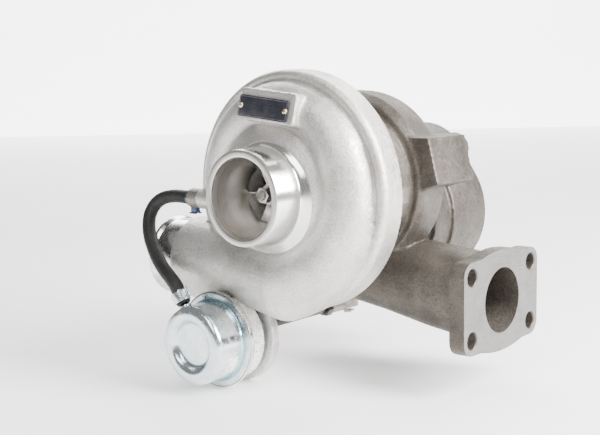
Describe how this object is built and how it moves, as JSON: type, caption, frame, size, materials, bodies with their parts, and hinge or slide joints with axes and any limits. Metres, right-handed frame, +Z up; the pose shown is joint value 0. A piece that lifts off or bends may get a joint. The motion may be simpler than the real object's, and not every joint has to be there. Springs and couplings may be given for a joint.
{
  "type": "turbocharger",
  "caption": "Small diesel-engine turbocharger: cast scroll compressor cover, cast-iron turbine housing with a square inlet flange, and a diaphragm wastegate actuator.",
  "frame": {"origin": "centre of the exhaust inlet port, on the face of the four-hole inlet flange", "axes": "+X out of the exhaust inlet flange; +Y along the rotor from the compressor's mouth towards the exhaust outlet; +Z up, towards the oil feed"},
  "size_m": [0.2257, 0.203, 0.208],
  "materials": {
    "cast_aluminium": "sand cast, matt",
    "cast_iron": "sand cast, grainy",
    "machined_aluminium": "machined",
    "steel": "plain turned",
    "heat_steel": "heat darkened",
    "zinc_plate": "bright zinc plated",
    "spring_steel": "oiled spring steel",
    "bronze": "machined bronze",
    "brass": "bright brass",
    "hose_rubber": "matt black",
    "seal_rubber": "black",
    "plate_black": "black anodised sheet"
  },
  "bodies": {
    "housing": {"actuator_can": "zinc_plate", "actuator_cap": "zinc_plate", "actuator_diaphragm": "seal_rubber", "actuator_nipple": "zinc_plate", "actuator_nut_1": "zinc_plate", "actuator_nut_2": "zinc_plate", "actuator_spring": "spring_steel", "backplate": "cast_aluminium", "backplate_bolt_1": "steel", "backplate_bolt_2": "steel", "backplate_bolt_3": "steel", "backplate_bolt_4": "steel", "backplate_o_ring": "seal_rubber", "bearing_ring_rear": "spring_steel", "bearing_spacer": "steel", "boost_hose": "hose_rubber", "centre_housing": "cast_iron", "compressor_housing": "cast_aluminium", "compressor_snap_ring": "spring_steel", "heat_shroud": "heat_steel", "hose_clamp_lower": "zinc_plate", "hose_clamp_upper": "zinc_plate", "hose_fitting": "brass", "name_plate": "plate_black", "plate_rivet_1": "brass", "plate_rivet_2": "brass", "seal_ring_compressor": "spring_steel", "seal_ring_turbine": "spring_steel", "thrust_bearing": "bronze", "turbine_bolt_1": "steel", "turbine_bolt_2": "steel", "turbine_bolt_3": "steel", "turbine_bolt_4": "steel", "turbine_bolt_5": "steel", "turbine_bolt_6": "steel", "turbine_clamp_1": "steel", "turbine_clamp_2": "steel", "turbine_housing": "cast_iron", "wastegate_bushing": "steel"},
    "rotor": {"turbine_shaft": "heat_steel", "compressor_wheel": "machined_aluminium", "shaft_nut": "steel", "flinger_sleeve": "steel", "thrust_collar": "steel"},
    "front_bearing": {"journal_bearing_front": "bronze"},
    "rear_bearing": {"journal_bearing_rear": "bronze"},
    "rod": {"actuator_rod": "zinc_plate", "actuator_piston": "zinc_plate", "rod_end": "steel", "rod_lock_nut": "steel"},
    "lever": {"wastegate_lever": "steel", "wastegate_arm": "heat_steel", "wastegate_valve": "heat_steel", "valve_washer": "heat_steel", "lever_pin": "steel", "lever_clip": "spring_steel"}
  },
  "joints": [
    {"name": "rotor_spin", "type": "hinge", "parent": "housing", "child": "rotor", "pos_m": [-0.106, -0.029, 0.072], "axis": [0, 1, 0], "continuous": true},
    {"name": "front_bearing_float", "type": "hinge", "parent": "housing", "child": "front_bearing", "pos_m": [-0.106, -0.0553, 0.072], "axis": [0, 1, 0], "continuous": true},
    {"name": "rear_bearing_float", "type": "hinge", "parent": "housing", "child": "rear_bearing", "pos_m": [-0.106, -0.0367, 0.072], "axis": [0, 1, 0], "continuous": true},
    {"name": "rod_slide", "type": "slide", "parent": "housing", "child": "rod", "axis": [0, 1, 0], "range_m": [0, 0.012], "stiffness_N_per_m": 6000, "springref_m": -0.02, "deforming": ["actuator_spring", "actuator_diaphragm"]},
    {"name": "lever_swing", "type": "hinge", "parent": "housing", "child": "lever", "pos_m": [-0.1224, 0.0385, -0.0194], "axis": [0, 0, -1], "range_deg": [0, 23.08]}
  ],
  "couplings": [
    {"joint": "lever_swing", "follows": "rod_slide", "rad_per_m": 33.55}
  ]
}
